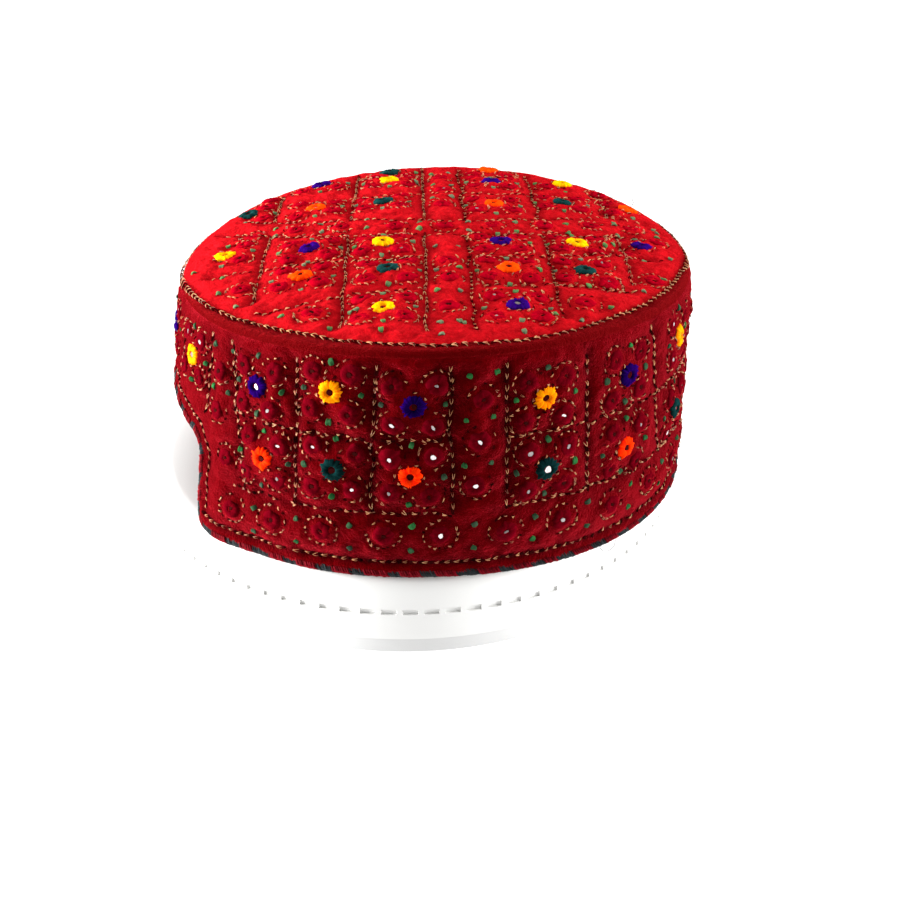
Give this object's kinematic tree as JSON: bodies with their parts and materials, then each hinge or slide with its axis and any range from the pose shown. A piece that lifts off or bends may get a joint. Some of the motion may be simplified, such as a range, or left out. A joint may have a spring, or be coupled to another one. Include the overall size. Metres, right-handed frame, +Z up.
{
  "type": "balochi cap on a round stand",
  "caption": "Oval embroidered cap with a low arched notch at the front and mirror rosettes all over, resting hem down on a low round white stand.",
  "frame": {"origin": "centre of the stand's underside", "axes": "+Z up; -Y towards the cap's notched front; +X towards the cap's right side as it is worn"},
  "size_m": [0.1954, 0.1962, 0.113],
  "materials": {
    "red_cloth": "brushed wool-like cotton, quilted and covered with stitches",
    "edge_thread": "dark green and red overcast thread",
    "yellow_thread": "buttonhole stitch in soft floss round a small mirror",
    "green_thread": "buttonhole stitch in soft floss round a small mirror",
    "navy_thread": "buttonhole stitch in soft floss round a small mirror",
    "orange_thread": "buttonhole stitch in soft floss round a small mirror",
    "white_plastic": "satin moulded plastic"
  },
  "bodies": {
    "root": {"stand": "white_plastic", "side_band": "red_cloth", "crown": "red_cloth", "edge_cord": "edge_thread", "crown_rosette_1": "yellow_thread", "crown_rosette_2": "navy_thread", "crown_rosette_3": "orange_thread", "crown_rosette_4": "green_thread", "crown_rosette_5": "orange_thread", "crown_rosette_6": "green_thread", "crown_rosette_7": "yellow_thread", "crown_rosette_8": "navy_thread", "crown_rosette_9": "yellow_thread", "crown_rosette_10": "navy_thread", "crown_rosette_11": "yellow_thread", "crown_rosette_12": "navy_thread", "crown_rosette_13": "green_thread", "crown_rosette_14": "orange_thread", "crown_rosette_15": "green_thread", "crown_rosette_16": "orange_thread", "crown_rosette_17": "green_thread", "crown_rosette_18": "orange_thread", "crown_rosette_19": "navy_thread", "crown_rosette_20": "yellow_thread", "crown_rosette_21": "navy_thread", "crown_rosette_22": "yellow_thread", "crown_rosette_23": "green_thread", "crown_rosette_24": "orange_thread", "right_rosette_upper_1": "navy_thread", "right_rosette_lower_1": "orange_thread", "right_rosette_upper_2": "yellow_thread", "right_rosette_lower_2": "green_thread", "right_rosette_upper_3": "navy_thread", "right_rosette_lower_3": "orange_thread", "right_rosette_upper_4": "yellow_thread", "right_rosette_lower_4": "green_thread", "right_rosette_upper_5": "navy_thread", "right_rosette_lower_5": "orange_thread", "right_rosette_upper_6": "yellow_thread", "right_rosette_lower_6": "green_thread", "right_rosette_front_1": "navy_thread", "right_rosette_front_2": "yellow_thread", "left_rosette_upper_1": "navy_thread", "left_rosette_lower_1": "orange_thread", "left_rosette_upper_2": "yellow_thread", "left_rosette_lower_2": "green_thread", "left_rosette_upper_3": "navy_thread", "left_rosette_lower_3": "orange_thread", "left_rosette_upper_4": "yellow_thread", "left_rosette_lower_4": "green_thread", "left_rosette_upper_5": "navy_thread", "left_rosette_lower_5": "orange_thread", "left_rosette_upper_6": "yellow_thread", "left_rosette_lower_6": "green_thread", "left_rosette_front_1": "navy_thread", "left_rosette_front_2": "yellow_thread"}
  },
  "joints": []
}
